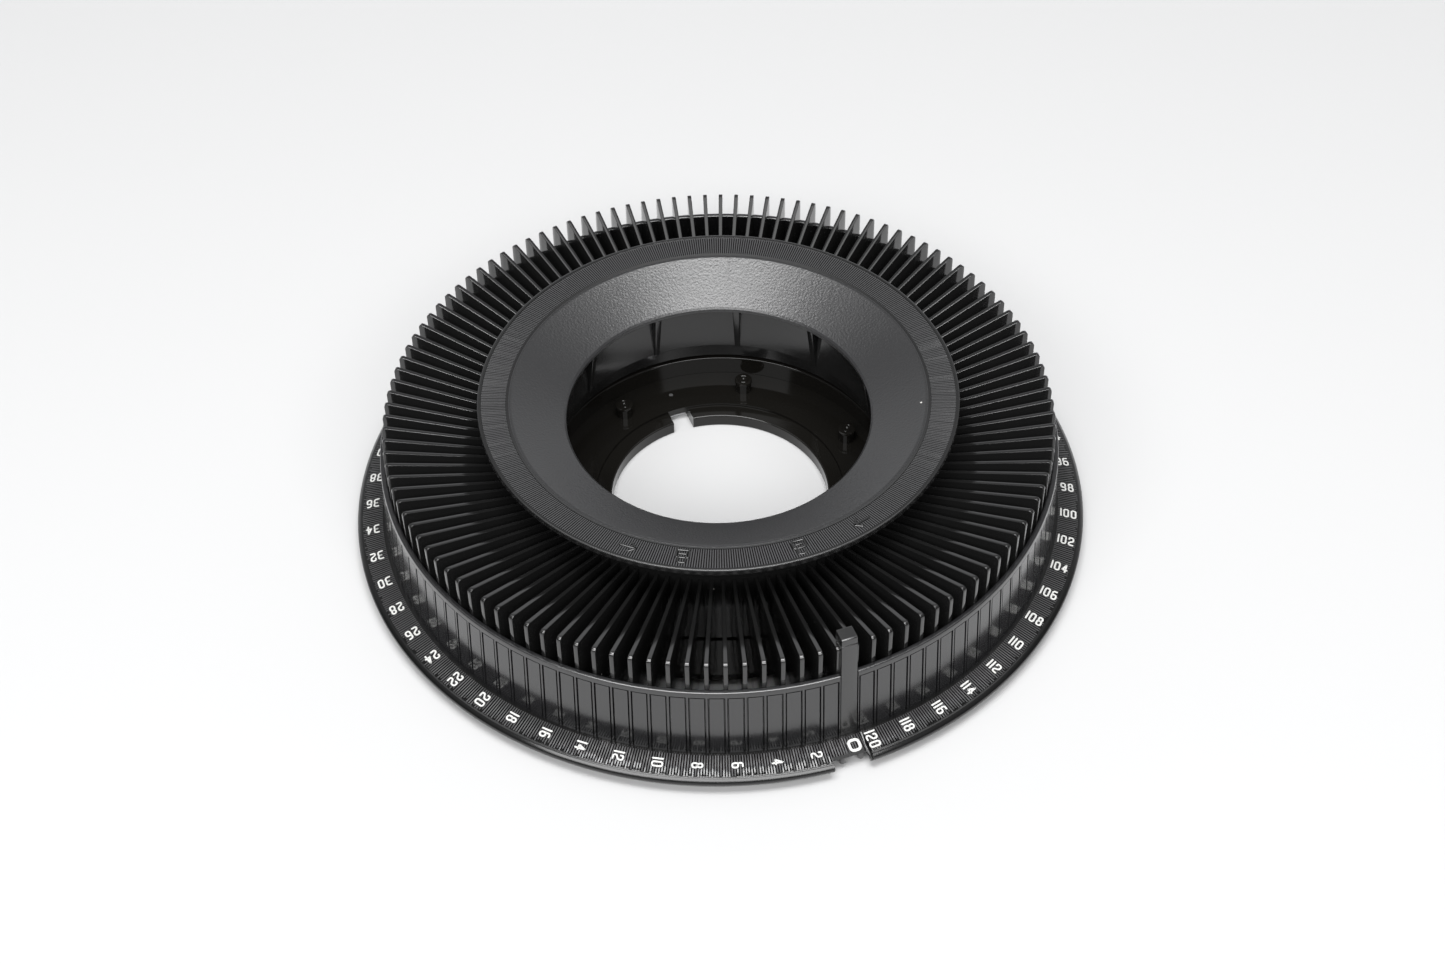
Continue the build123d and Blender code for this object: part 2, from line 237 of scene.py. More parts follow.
def polar(radius: np.ndarray, angle: np.ndarray, height: np.ndarray) -> np.ndarray:
    """Returns points from radius, angle in radians and height, which are stretched to one shape."""
    radius, angle, height = np.broadcast_arrays(radius, angle, height)
    return np.stack([radius * np.cos(angle), radius * np.sin(angle), height], -1)


def ring(outline: np.ndarray, columns: int) -> Patch:
    """Makes a closed ring from a closed outline that runs outward along its lower side."""
    return lattice(revolved(outline, columns), wrap_rows=True, wrap_columns=True)


def inset(outline: np.ndarray, depth: np.ndarray) -> np.ndarray:
    """Draws a closed outline in by a depth.

    Each point moves along the sum of its two sides' inward normals, divided by one plus their product, so that
    both sides move in by the same depth.

    Args:
        outline: array of shape (n, 2), anticlockwise.
        depth: array of depths.

    Returns:
        Array of shape (depths, n, 2).
    """
    side = np.roll(outline, -1, 0) - outline
    side /= np.linalg.norm(side, axis=1)[:, None]
    normal = np.stack([-side[:, 1], side[:, 0]], -1)
    last = np.roll(normal, 1, 0)
    move = (normal + last) / (1 + (normal * last).sum(1))[:, None]
    return outline[None] + move[None] * np.asarray(depth, float)[:, None, None]


def blade(outline: np.ndarray, thickness: np.ndarray, bevel: float) -> Patch:
    """Makes a flat plate with softened edges, standing in the XZ plane.

    Rows of the outline run across the thickness; near each face they are drawn in along a quarter circle.

    Args:
        outline: array of (x, z), anticlockwise.
        thickness: thickness at each outline point.
        bevel: radius of the softened edge.

    Returns:
        The closed patch.
    """
    turn = np.radians([90.0, 60.0, 30.0, 0.0])
    depth = bevel * (1 - np.cos(turn))
    back = bevel * (1 - np.sin(turn))
    rows = inset(outline, np.concatenate([depth, depth[::-1]]))
    half = thickness[None] / 2 - np.concatenate([back, back[::-1]])[:, None]
    side = np.concatenate([-np.ones(4), np.ones(4)])[:, None]
    points = np.stack([rows[..., 0], side * half, rows[..., 1]], -1)
    return lattice(points, wrap_columns=True, ends=True).flipped()


def ridge_wave(ridges: int, steps: int, unevenness: float, seed: int) -> np.ndarray:
    """Heights of a turn of radial ridges, each with a flat top near 1, parted by sharp valleys at 0.

    Height j of ridge i is 0 where j is 0 and 1 + u_i elsewhere, where u_i is a seeded random number between minus
    and plus the unevenness.

    Args:
        ridges: number of ridges in the turn.
        steps: points along each ridge's wave.
        unevenness: largest share by which a ridge is higher or lower.
        seed: start of the random draw.

    Returns:
        Array of ridges * steps heights.
    """
    draw = np.random.default_rng(seed).uniform(-unevenness, unevenness, ridges)
    shape = (np.arange(steps) > 0).astype(float)
    return ((1 + draw)[:, None] * shape[None]).ravel()


# ---------------------------------------------------------------- pieces


def placed(name: str, data: bpy.types.ID) -> bpy.types.Object:
    """Puts a mesh, light or camera into the scene as an object."""
    obj = bpy.data.objects.new(name, data)
    bpy.context.scene.collection.objects.link(obj)
    return obj


def piece(name: str, patch: Patch, finish: "Finish", body: Body, replaces: tuple[str, ...] = (),
          sharp: float | None = 38.0) -> bpy.types.Object:
    """Puts a patch into a mesh object, dresses it and lets it ride on a body.

    Args:
        name: name of the piece.
        patch: its shape, in millimetres.
        finish: its finish.
        body: the body it moves with.
        replaces: CAD nodes that it stands for.
        sharp: edges sharper than this stay sharp; None leaves every face flat.

    Returns:
        The object.
    """
    mesh = bpy.data.meshes.new(name)
    faces = patch.quads.tolist() + patch.caps.tolist()
    mesh.from_pydata((patch.points * MM).tolist(), [], faces)
    mesh.validate()
    if sharp is not None:
        mesh.shade_smooth()
        mesh.set_sharp_from_angle(angle=math.radians(sharp))
    mesh.materials.append(finish.material())
    obj = placed(name, mesh)
    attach(obj, body.value)
    if replaces:
        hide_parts(*replaces)
    log.info("%s: %d points, %d faces", name, len(patch.points), len(faces))
    return obj


def dress(node: str, finish: "Finish") -> None:
    """Gives a CAD node a finish."""
    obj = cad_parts[node]
    obj.data.materials.clear()
    obj.data.materials.append(finish.material())
    log.info("%s: %s", node, finish.name)


# ---------------------------------------------------------------- finishes


class Group:
    """Ways to add shader nodes, and the node groups that several finishes share, each built once."""

    SPECK_SIZE = 0.16
    SPECK_STRENGTH = 0.8

    @staticmethod
    def add(tree: Tree, kind: str, inputs: dict | None = None, **settings: object) -> Node:
        """Adds a shader node.

        Args:
            tree: the node tree.
            kind: type of the node, without the prefix that all share.
            inputs: by name or number, a value to set or a socket to link.
            settings: the node's own settings.

        Returns:
            The node.
        """
        node = tree.nodes.new(f"ShaderNode{kind}")
        for label, value in settings.items():
            setattr(node, label, value)
        for label, value in (inputs or {}).items():
            if isinstance(value, Socket):
                tree.links.new(value, node.inputs[label])
            else:
                node.inputs[label].default_value = value
        return node

    @classmethod
    def math(cls, tree: Tree, operation: str, *values: Socket | float, clamp: bool = False) -> Socket:
        """Adds a Math node and returns its result."""
        return cls.add(tree, "Math", dict(enumerate(values)), operation=operation, use_clamp=clamp).outputs[0]

    @classmethod
    def where(cls, tree: Tree) -> Socket:
        """Returns the Object coordinates."""
        return cls.add(tree, "TexCoord").outputs["Object"]

    @classmethod
    def upward(cls, tree: Tree) -> Socket:
        """Returns how far a face looks up, the height part of its normal."""
        normal = cls.add(tree, "NewGeometry").outputs["Normal"]
        return cls.add(tree, "SeparateXYZ", {0: normal}).outputs["Z"]

    @classmethod
    def noise(cls, tree: Tree, scale: Socket | float, detail: float) -> Socket:
        """Adds noise on Object coordinates and returns its value."""
        inputs = {"Vector": cls.where(tree), "Scale": scale, "Detail": detail}
        return cls.add(tree, "TexNoise", inputs).outputs["Fac"]

    @staticmethod
    def start(name: str, inputs: dict[str, float], outputs: tuple[str, ...]) -> tuple[Tree, bool]:
        """Finds or makes a group and its sockets, which are all plain numbers.

        Args:
            name: the group's name.
            inputs: name and default of each number that goes in.
            outputs: name of each result.

        Returns:
            The group, and whether it is new.
        """
        tree = bpy.data.node_groups.get(name)
        if tree:
            return tree, False
        tree = bpy.data.node_groups.new(name, "ShaderNodeTree")
        for label, value in inputs.items():
            socket = tree.interface.new_socket(label, in_out="INPUT", socket_type="NodeSocketFloat")
            socket.default_value = value
        for label in outputs:
            tree.interface.new_socket(label, in_out="OUTPUT", socket_type="NodeSocketFloat")
        return tree, True

    @classmethod
    def grain(cls) -> Tree:
        """Fine moulded grain: height of small bumps, and slow patches of roughness."""
        inputs = {"Grain Scale": 2500.0, "Patch Scale": 40.0, "Roughness": 0.2, "Spread": 0.06}
        tree, new = cls.start("moulded_grain", inputs, ("Height", "Roughness"))
        if new:
            given = tree.nodes.new("NodeGroupInput").outputs
            result = tree.nodes.new("NodeGroupOutput").inputs
            fine = cls.noise(tree, given["Grain Scale"], 2.0)
            slow = cls.noise(tree, given["Patch Scale"], 3.0)
            swing = cls.math(tree, "MULTIPLY", cls.math(tree, "SUBTRACT", slow, 0.5), given["Spread"])
            rough = cls.math(tree, "MULTIPLY_ADD", swing, 4.0, given["Roughness"], clamp=True)
            tree.links.new(fine, result["Height"])
            tree.links.new(rough, result["Roughness"])
        return tree

    @classmethod
    def dust(cls) -> Tree:
        """Dust: a rare pale speck at the middle of a small cell."""
        tree, new = cls.start("dust", {"Speck Scale": 700.0, "Speck Share": 0.03}, ("Mask",))
        if new:
            given = tree.nodes.new("NodeGroupInput").outputs
            result = tree.nodes.new("NodeGroupOutput").inputs
            cells = cls.add(tree, "TexVoronoi", {"Vector": cls.where(tree), "Scale": given["Speck Scale"]})
            chance = cls.add(tree, "SeparateColor", {"Color": cells.outputs["Color"]})
            chosen = cls.math(tree, "LESS_THAN", chance.outputs["Red"], given["Speck Share"])
            near = cls.math(tree, "LESS_THAN", cells.outputs["Distance"], cls.SPECK_SIZE)
            speck = cls.math(tree, "MULTIPLY", chosen, near)
            tree.links.new(cls.math(tree, "MULTIPLY", speck, cls.SPECK_STRENGTH), result["Mask"])
        return tree


@dataclass(frozen=True)
class Finish:
    """A moulded plastic finish.

    Args:
        name: name of the material.
        slot: the record's material slot; not used.
        colour: base colour, linear.
        roughness: middle roughness.
        spread: how far the roughness drifts.
        grain_scale: size of the grain; larger is finer.
        bump: strength of the grain.
        depth: depth of the grain, in metres.
        dust: share of small cells with a speck.
        metallic: 1 for metal.
        specular: specular level.
    """

    name: str
    slot: str
    colour: Colour
    roughness: float
    spread: float = 0.04
    grain_scale: float = 2500.0
    bump: float = 0.1
    depth: float = 0.00002
    dust: float = 0.0012
    metallic: float = 0.0
    specular: float = 0.5

    SPECK = (0.45, 0.44, 0.42)

    def material(self) -> bpy.types.Material:
        """Finds or builds the material.

        Returns:
            The material, with grain and dust groups in front of one Principled shader.
        """
        made = bpy.data.materials.get(self.name)
        if made:
            return made
        made = bpy.data.materials.new(self.name)
        made.use_nodes = True
        tree = made.node_tree
        shader = tree.nodes["Principled BSDF"]
        shader.inputs["Metallic"].default_value = self.metallic
        shader.inputs["Specular IOR Level"].default_value = self.specular
        values = {"Grain Scale": self.grain_scale, "Roughness": self.roughness, "Spread": self.spread}
        grain = Group.add(tree, "Group", values, node_tree=Group.grain()).outputs
        dust = Group.add(tree, "Group", {"Speck Share": self.dust}, node_tree=Group.dust()).outputs
        values = {"Strength": self.bump, "Distance": self.depth, "Height": grain["Height"]}
        bump = Group.add(tree, "Bump", values)
        tree.links.new(bump.outputs["Normal"], shader.inputs["Normal"])
        tree.links.new(grain["Roughness"], shader.inputs["Roughness"])
        self.paint(tree, shader, dust["Mask"])
        return made

    def paint(self, tree: Tree, shader: Node, dust: Socket) -> None:
        """Puts dust over the base colour."""
        self.coat(tree, shader, self.SPECK, dust)

    def coat(self, tree: Tree, shader: Node, second: Colour, share: Socket) -> None:
        """Mixes a second colour over the base colour by a linked share and gives the result to the shader."""
        inputs = {0: share, 6: (*self.colour, 1), 7: (*second, 1)}
        mix = Group.add(tree, "Mix", inputs, data_type="RGBA")
        tree.links.new(mix.outputs[2], shader.inputs["Base Color"])


@dataclass(frozen=True)
class Inked(Finish):
    """A black figure whose flat top is inked white.

    Args:
        ink: colour of the ink.
        wear: scale and detail of the noise that wears the ink's edge, its strength, and the least slope inked.
    """

    ink: Colour = (0.38, 0.38, 0.37)
    wear: tuple[float, float, float, float] = (1800.0, 4.0, 0.25, 0.42)

    def paint(self, tree: Tree, shader: Node, dust: Socket) -> None:
        """Inks the faces that look up, with a little wear, and leaves the sides black."""
        scale, detail, strength, least = self.wear
        edge = Group.math(tree, "MULTIPLY_ADD", Group.noise(tree, scale, detail), strength, least)
        self.coat(tree, shader, self.ink, Group.math(tree, "GREATER_THAN", Group.upward(tree), edge))


@dataclass(frozen=True)
class Ridged(Finish):
    """A black band whose ridge tops are painted a dull grey: a painted highlight along the crests.

    Args:
        crest: colour of the painted highlight on the ridge tops.
        band: inner and outer radius of the ridged band, in metres.
    """

    crest: Colour = (0.034, 0.034, 0.0346)
    band: tuple[float, float] = (0.0, 1.0)

    LEVEL = 0.9

    def paint(self, tree: Tree, shader: Node, dust: Socket) -> None:
        """Paints the highlight on the faces that look up inside the band."""
        inputs = {0: Group.where(tree), 1: (1.0, 1.0, 0.0)}
        flat = Group.add(tree, "VectorMath", inputs, operation="MULTIPLY").outputs["Vector"]
        radius = Group.add(tree, "VectorMath", {0: flat}, operation="LENGTH").outputs["Value"]
        past_inner = Group.math(tree, "GREATER_THAN", radius, self.band[0])
        before_outer = Group.math(tree, "LESS_THAN", radius, self.band[1])
        inside = Group.math(tree, "MULTIPLY", past_inner, before_outer)
        # Painted highlight: ridge tops that face up get the lighter crest colour, standing in for their reflection.
        level = Group.math(tree, "GREATER_THAN", Group.upward(tree), self.LEVEL)
        self.coat(tree, shader, self.crest, Group.math(tree, "MULTIPLY", inside, level))


@dataclass(frozen=True)
class Lit(Finish):
    """A floor that looks less bright to the camera than it shines on the tray, as an overexposed floor does.

    Args:
        seen: colour that the camera sees.
    """

    seen: Colour = (0.335, 0.335, 0.3365)

    def paint(self, tree: Tree, shader: Node, dust: Socket) -> None:
        """Picks the seen colour for camera rays and the base colour for all others; from below it is clear."""
        self.coat(tree, shader, self.seen, Group.add(tree, "LightPath").outputs["Is Camera Ray"])
        side = Group.add(tree, "NewGeometry").outputs["Backfacing"]
        tree.links.new(Group.math(tree, "SUBTRACT", 1.0, side), shader.inputs["Alpha"])


class Finishes:
    """Every finish on the tray and under it."""

    SHELL = Finish("gloss_black_shell", "gloss_black", (0.008, 0.008, 0.0085), 0.17, grain_scale=900.0,
                   bump=0.05, specular=0.72)
    FIN = Finish("gloss_black_fins", "gloss_black", (0.006, 0.006, 0.006), 0.11, spread=0.03, bump=0.05,
                 specular=0.6)
    HUB = Finish("gloss_black_hub", "gloss_black", (0.006, 0.006, 0.006), 0.15, bump=0.04, specular=0.42)
    # The flange and lip finishes paint a highlight on their upward-facing ridge tops.
    FLANGE = Ridged("satin_black_flange", "gloss_black", (0.004, 0.004, 0.004), 0.16, specular=0.36,
                    band=(0.079, 0.0837))
    GRAIN = Finish("spark_grain_black", "satin_black", (0.012, 0.012, 0.0125), 0.3, spread=0.03,
                   grain_scale=1900.0, bump=0.8, depth=0.00009)
    LIP = Ridged("satin_black_lip", "satin_black", (0.006, 0.006, 0.006), 0.22, spread=0.03,
                 crest=(0.034, 0.034, 0.035), band=(0.0479, 0.0534))
    PLATE = Finish("gloss_black_plate", "plate_black", (0.004, 0.0037, 0.0032), 0.06, spread=0.02,
                   bump=0.02, dust=0.0, specular=0.3)
    POST = Finish("satin_black_post", "satin_black", (0.010, 0.010, 0.010), 0.2, specular=0.65)
    STEEL = Finish("zinc_plated_steel", "steel", (0.45, 0.45, 0.46), 0.32, metallic=1.0, dust=0.0)
    FIGURE = Inked("inked_figures", "numeral_white", (0.012, 0.012, 0.012), 0.45, bump=0.2)
    FLOOR = Lit("pale_floor", "", (0.44, 0.44, 0.442), 0.7, bump=0.0, dust=0.0, specular=0.1)


# ---------------------------------------------------------------- figures


@dataclass
class Figures:
    """Squarish raised figures drawn as strokes in a unit box, x along the reading direction and y up.

    Args:
        width: width of a figure between stroke centres.
        height: height of a figure between stroke centres.
        stroke: width of the stroke.
        gap: clear space between two figures.
        corner: radius of the strokes' corners.
        rise: height of the figure.
        edge: width of its softened edge.
    """

    width: float = 0.98
    height: float = 2.2
    stroke: float = 0.41
    gap: float = 0.34
    corner: float = 0.4
    rise: float = 0.5
    edge: float = 0.07

    STROKES = {
        "0": [[(0, 0), (1, 0), (1, 1), (0, 1), "closed"]],
        "1": [[(0, 0), (0, 1)]],
        "2": [[(0, 0.74), (0, 1), (1, 1), (1, 0.56), (0, 0.3), (0, 0), (1, 0)]],
        "3": [[(0, 1), (1, 1), (1, 0.52), (0.3, 0.52)], [(0.3, 0.52), (1, 0.52), (1, 0), (0, 0)]],
        "4": [[(0.72, 0), (0.72, 1)], [(0.72, 1), (0, 0.32)], [(0, 0.32), (1.1, 0.32)]],
        "5": [[(1, 1), (0, 1), (0, 0.58), (1, 0.58), (1, 0), (0, 0)]],
        "6": [[(0.85, 1), (0, 1), (0, 0), (1, 0), (1, 0.56), (0, 0.56)]],
        "7": [[(0, 1), (1, 1)], [(1, 1), (0.35, 0)]],
        "8": [[(0, 0), (1, 0), (1, 0.54), (0, 0.54), "closed"],
              [(0.06, 0.54), (0.94, 0.54), (0.94, 1), (0.06, 1), "closed"]],
        "9": [[(0.15, 0), (1, 0), (1, 1), (0, 1), (0, 0.44), (1, 0.44)]],
    }

    def advance(self, sign: str) -> float:
        """Width between stroke centres of one sign."""
        return 0.0 if sign == "1" else self.width

    def smooth(self, points: np.ndarray, closed: bool) -> np.ndarray:
        """Rounds the corners of a path with arcs, as rounded() does, and keeps the ends of an open one."""
        limits = np.full(len(points), self.corner)
        if not closed:
            limits[[0, -1]] = 0.0
        corners = [(x, y, r) for (x, y), r in zip(points, limits)]
        path = rounded(corners, 4).reshape(len(points), -1, 2)[:, 1:-1]
        if closed:
            return path.reshape(-1, 2)
        return np.concatenate([points[:1], path[1:-1].reshape(-1, 2), points[-1:]])

    def ribbon(self, path: np.ndarray, closed: bool) -> np.ndarray:
        """Carries a low rounded section along a path.

        Across the path the section is flat on top with softened edges; an open path gets half-round ends, whose
        half width is the cosine of the angle while they run on by its sine.

        Args:
            path: array of (x, y).
            closed: whether the path meets itself.

        Returns:
            Array of shape (path points, section points, 3), with heights from 0 at the top downward.
        """
        half = np.full(len(path), self.stroke / 2)
        if not closed:
            turn = np.radians([90.0, 60.0, 30.0])
            first = path[0] - path[1]
            last = path[-1] - path[-2]
            first /= np.linalg.norm(first)
            last /= np.linalg.norm(last)
            head = path[0] + first * np.sin(turn)[:, None] * self.stroke / 2
            tail = path[-1] + last * np.sin(turn[::-1])[:, None] * self.stroke / 2
            path = np.concatenate([head, path, tail])
            narrow = np.maximum(np.cos(turn), 0.02) * self.stroke / 2
            half = np.concatenate([narrow, half, narrow[::-1]])
        if closed:
            along = np.roll(path, -1, 0) - np.roll(path, 1, 0)
        else:
            along = np.gradient(path, axis=0)
        along /= np.linalg.norm(along, axis=1)[:, None]
        side = np.stack([-along[:, 1], along[:, 0]], -1)
        edge = self.edge
        across = np.array([-1.0, -1.0, -1.0, 1.0, 1.0, 1.0])
        pull = np.array([-edge, 0.0, edge, edge, 0.0, -edge])
        fall = np.array([self.rise, edge, 0.0, 0.0, edge, self.rise])
        reach_out = np.maximum(half[:, None] - pull[None], 0.005) * across[None]
        flat = path[:, None] + side[:, None] * reach_out[..., None]
        return np.concatenate([flat, np.broadcast_to(-fall[None, :, None], flat.shape[:2] + (1,))], -1)

    def word(self, text: str) -> list[tuple[np.ndarray, bool]]:
        """Lays the signs of a text side by side, centred on the origin.

        Args:
            text: figures to write.

        Returns:
            The ribbons of all strokes.
        """
        pen = [0.0]
        for sign in text:
            pen.append(pen[-1] + self.advance(sign) + self.stroke + self.gap)
        total = pen[-1] - self.gap - self.stroke
        size, middle = np.array([self.width, self.height]), self.height / 2
        return [self.carried(stroke, size, np.array([left - total / 2, -middle]))
                for sign, left in zip(text, pen) for stroke in self.STROKES[sign]]

    def carried(self, stroke: list, size: np.ndarray,
                start: np.ndarray = np.zeros(2)) -> tuple[np.ndarray, bool]:
        """Makes the ribbon of one stroke.

        Args:
            stroke: corner points, with "closed" at the end when the last meets the first.
            size: factors on x and y.
            start: place of the stroke's origin.

        Returns:
            The ribbon's points, and whether it is closed.
        """
        closed = stroke[-1] == "closed"
        corners = np.array(stroke[:-1] if closed else stroke, float)
        return self.ribbon(self.smooth(corners * size + start, closed), closed), closed


def laid(degrees: float, outward: np.ndarray, sideways: np.ndarray, height: np.ndarray, closed: bool) -> Patch:
    """Lays a ribbon's grid round the axis and makes it a closed patch.

    Each point goes outward along the radius at the angle, and sideways from it, anticlockwise.

    Args:
        degrees: angle of the radius.
        outward: how far each point is along the radius.
        sideways: how far it is from the radius.
        height: its height.
        closed: whether the ribbon meets itself.

    Returns:
        The patch.
    """
    angle = math.radians(degrees)
    out = np.array([math.cos(angle), math.sin(angle)])
    side = np.array([-out[1], out[0]])
    plan = out * outward[..., None] + side * sideways[..., None]
    points = np.concatenate([plan, height[..., None]], -1)
    return lattice(points, wrap_rows=closed, wrap_columns=True, ends=not closed)


# ---------------------------------------------------------------- sub-assemblies


@dataclass
class Shell:
    """Outer wall with its panels, and the numbered flange.

    The wall's radius falls by a small step inside each panel; the flange is a shallow cone with fine radial ridges.
    """

    rim_r: float = measured(reach, "outer_shell")
    rim_low: float = measured(low, "outer_shell")
    wall_top: float = measured(high, "outer_shell")
    rim_top: float = 3.74
    bead_r: float = 84.1
    bead_z: float = 4.5
    undercut: tuple[float, float] = (0.55, 1.0)
    foot_r: float = 78.41
    foot_z: float = 5.61
    top_r: float = 77.35
    inner_r: float = 76.15
    skin: float = 1.3
    panel_step: float = 0.1
    groove_step: float = 0.6
    groove_w: float = 0.36
    panel_margin: float = 1.35
    rib_half: float = 0.2
    ridges: int = 878
    ridge_rise: float = 0.26
    ridge_steps: int = 4
    cut: tuple[float, float] = (-93.8, -88.3)
    cut_r: float = 82.7
    slit_r: float = 80.2
    slit_half: float = 0.26
    post_half: float = 1.42
    figure_r: float = 81.4
    figure_rise: float = 0.26
    band_r: float = 83.7

    def flange_z(self, radius: np.ndarray) -> np.ndarray:
        """Height of the flange's top at a radius."""
        slope = (self.foot_z - self.bead_z) / (self.bead_r - self.foot_r)
        return self.foot_z - slope * (np.asarray(radius) - self.foot_r)

    def wall(self) -> Patch:
        """Builds the wall.

        Columns and rows are set at the edges of the ribs, grooves and panels, the same in each of the 121
        divisions. A point moves in by the larger of its column's step and its row's step, where neither is zero.

        Returns:
            The closed wall.
        """
        cuts = self.rib_half + self.groove_w * np.array([0.0, 0.4, 0.6, 1.0])
        edge = np.degrees(cuts / self.foot_r)
        across = np.concatenate([[0.0], edge, [PITCH / 2], PITCH - edge[::-1]])
        depth = np.array([0.0, 0.0, 1.0, 1.0, 0.0, 0.0, 0.0, 1.0, 1.0, 0.0])
        on_panel = np.array([0, 0, 1, 1, 1, 1, 1, 1, 1, 0])
        start = ZERO_ANGLE + PITCH / 2
        angle = (start + np.arange(POSITIONS)[:, None] * PITCH + across[None]).ravel()
        column_step = np.tile(self.panel_step * on_panel + (self.groove_step - self.panel_step) * depth, POSITIONS)
        top, foot, r = self.wall_top, self.foot_z, 0.28
        margin = top - self.panel_margin
        z = np.array([foot - 1.2, foot - 0.2, foot + 0.35, margin - self.groove_w, margin - 0.6 * self.groove_w,
                      margin - 0.4 * self.groove_w, margin, top - r - 0.3])
        panel, groove = self.panel_step, self.groove_step
        row_step = np.array([0.0, panel, panel, panel, groove, groove, 0.0, 0.0])
        outer_r = self.foot_r + (self.top_r - self.foot_r) * (z - foot) / (top - foot)
        crown = np.radians([0.0, 30.0, 60.0, 90.0])
        crown_r = self.top_r - r + r * np.cos(crown)
        crown_z = top - r + r * np.sin(crown)
        back_r = self.inner_r + r - r * np.cos(crown[::-1])
        back_z = top - r + r * np.sin(crown[::-1])
        inner_z = np.array([top - r - 0.3, 12.0, foot - 1.2])
        radius = np.concatenate([outer_r, crown_r, back_r, np.full(3, self.inner_r)])
        height = np.concatenate([z, crown_z, back_z, inner_z])
        row_step = np.concatenate([row_step, np.zeros(len(radius) - len(row_step))])
        step = np.maximum(row_step[:, None], column_step[None]) * (row_step[:, None] > 0) * (column_step[None] > 0)
        radius = radius[:, None] - step
        behind = np.abs(angle - ZERO_ANGLE - 360 * np.round((angle - ZERO_ANGLE) / 360)) < self.post_half
        outward = (radius > self.inner_r + 0.2) & behind[None]
        radius = np.where(outward, np.minimum(radius, self.inner_r + 0.25), radius)
        return lattice(polar(radius, np.radians(angle)[None], height[:, None]), wrap_rows=True, wrap_columns=True)

    def flange(self) -> Patch:
        """Builds the flange and rim.

        In the ridged band the top rises by the ridge height times what the ridge wave has over 0.85. Inside the cut
        the outline stops at the cut's radius, and inside the slit its top falls to just above its underside.

        Returns:
            The closed flange.
        """
        columns = self.ridge_steps * self.ridges
        angle = ZERO_ANGLE - 180 + np.arange(columns) * 360.0 / columns
        under_z, band_r = self.foot_z - self.skin, self.band_r
        stations = np.array([
            (self.foot_r - 0.9, self.foot_z + 0.1, 0), (self.foot_r + 0.45, self.flange_z(self.foot_r + 0.45), 0),
            (self.foot_r + 0.6, self.flange_z(self.foot_r + 0.6), 1),
            (self.figure_r, self.flange_z(self.figure_r), 1), (band_r, self.flange_z(band_r), 1),
            (band_r + 0.05, self.flange_z(band_r + 0.05), 0),
            (self.bead_r - 0.1, self.bead_z + 0.01, 0), (self.bead_r + 0.05, self.bead_z - 0.02, 0),
            (self.bead_r + 0.16, self.bead_z - 0.08, 0), (self.rim_r - 0.12, self.rim_top + 0.12, 0),
            (self.rim_r, self.rim_top - 0.06, 0), (self.rim_r, self.rim_low + self.undercut[1], 0),
            (self.rim_r - 0.06, self.rim_low + self.undercut[1] - 0.1, 0),
            (self.rim_r - self.undercut[0], self.rim_low, 0),
            (self.rim_r - self.skin, self.rim_low, 0),
            (self.rim_r - self.skin, self.bead_z - self.skin, 0), (self.foot_r, under_z, 0),
            (self.foot_r - 0.9, self.rim_low + 0.1, 0), (self.inner_r + 0.05, self.rim_low, 0),
            (self.inner_r + 0.05, self.foot_z - 0.4, 0),
        ], float)
        r, z, ridged = (np.broadcast_to(v[:, None], (len(stations), columns)).copy() for v in stations.T)
        crest = ridge_wave(self.ridges, self.ridge_steps, 0.1, 4)
        z += self.ridge_rise * (crest[None] - 0.85) * ridged
        top_side = np.arange(len(stations)) < 11
        slope = (under_z - self.bead_z + self.skin) / (self.rim_r - self.skin - self.foot_r)
        under = under_z - slope * (r - self.foot_r)
        in_cut = (angle > self.cut[0]) & (angle < self.cut[1])
        beyond = in_cut[None] & (r > self.cut_r)
        cut_top = self.flange_z(self.cut_r) - 0.02
        cut_under = under_z - slope * (self.cut_r - self.foot_r)
        z = np.where(beyond, np.where(top_side[:, None], cut_top, cut_under), z)
        r = np.where(beyond, self.cut_r, r)
        slit = (np.abs(angle - self.cut[1]) < self.slit_half)[None] & (r > self.slit_r) & top_side[:, None]
        z = np.where(slit, under + 0.05, z)
        return lattice(polar(r, np.radians(angle)[None], z)[::-1], wrap_rows=True, wrap_columns=True)

    def figures(self) -> Patch:
        """Builds the raised numbers.

        Each number reads outward along the radius and its figures' tops point anticlockwise. A ribbon point (x, y, h)
        goes to radius figure_r + x, sideways y, at the flange's height plus the rise plus h.

        Returns:
            All figures in one patch.
        """
        small = Figures()
        large = Figures(width=2.35, height=2.2, stroke=0.66, corner=0.7)
        patches = []
        for number in range(0, POSITIONS, 2):
            pen = small if number else large
            for points, closed in pen.word(str(number)):
                x, y, h = np.moveaxis(points, -1, 0)
                z = self.flange_z(self.figure_r + x) + self.figure_rise + h
                patches.append(laid(ZERO_ANGLE - number * PITCH, self.figure_r + x, y, z, closed))
        return joined(patches).flipped()

    def build(self) -> None:
        """Makes the shell's pieces."""
        piece("panelled_wall", self.wall(), Finishes.SHELL, Body.TRAY, ("outer_shell",))
        piece("ridged_flange", self.flange(), Finishes.FLANGE, Body.TRAY, ("outer_shell",), sharp=40.0)
        piece("raised_numbers", self.figures(), Finishes.FIGURE, Body.TRAY, ("outer_shell",), sharp=30.0)


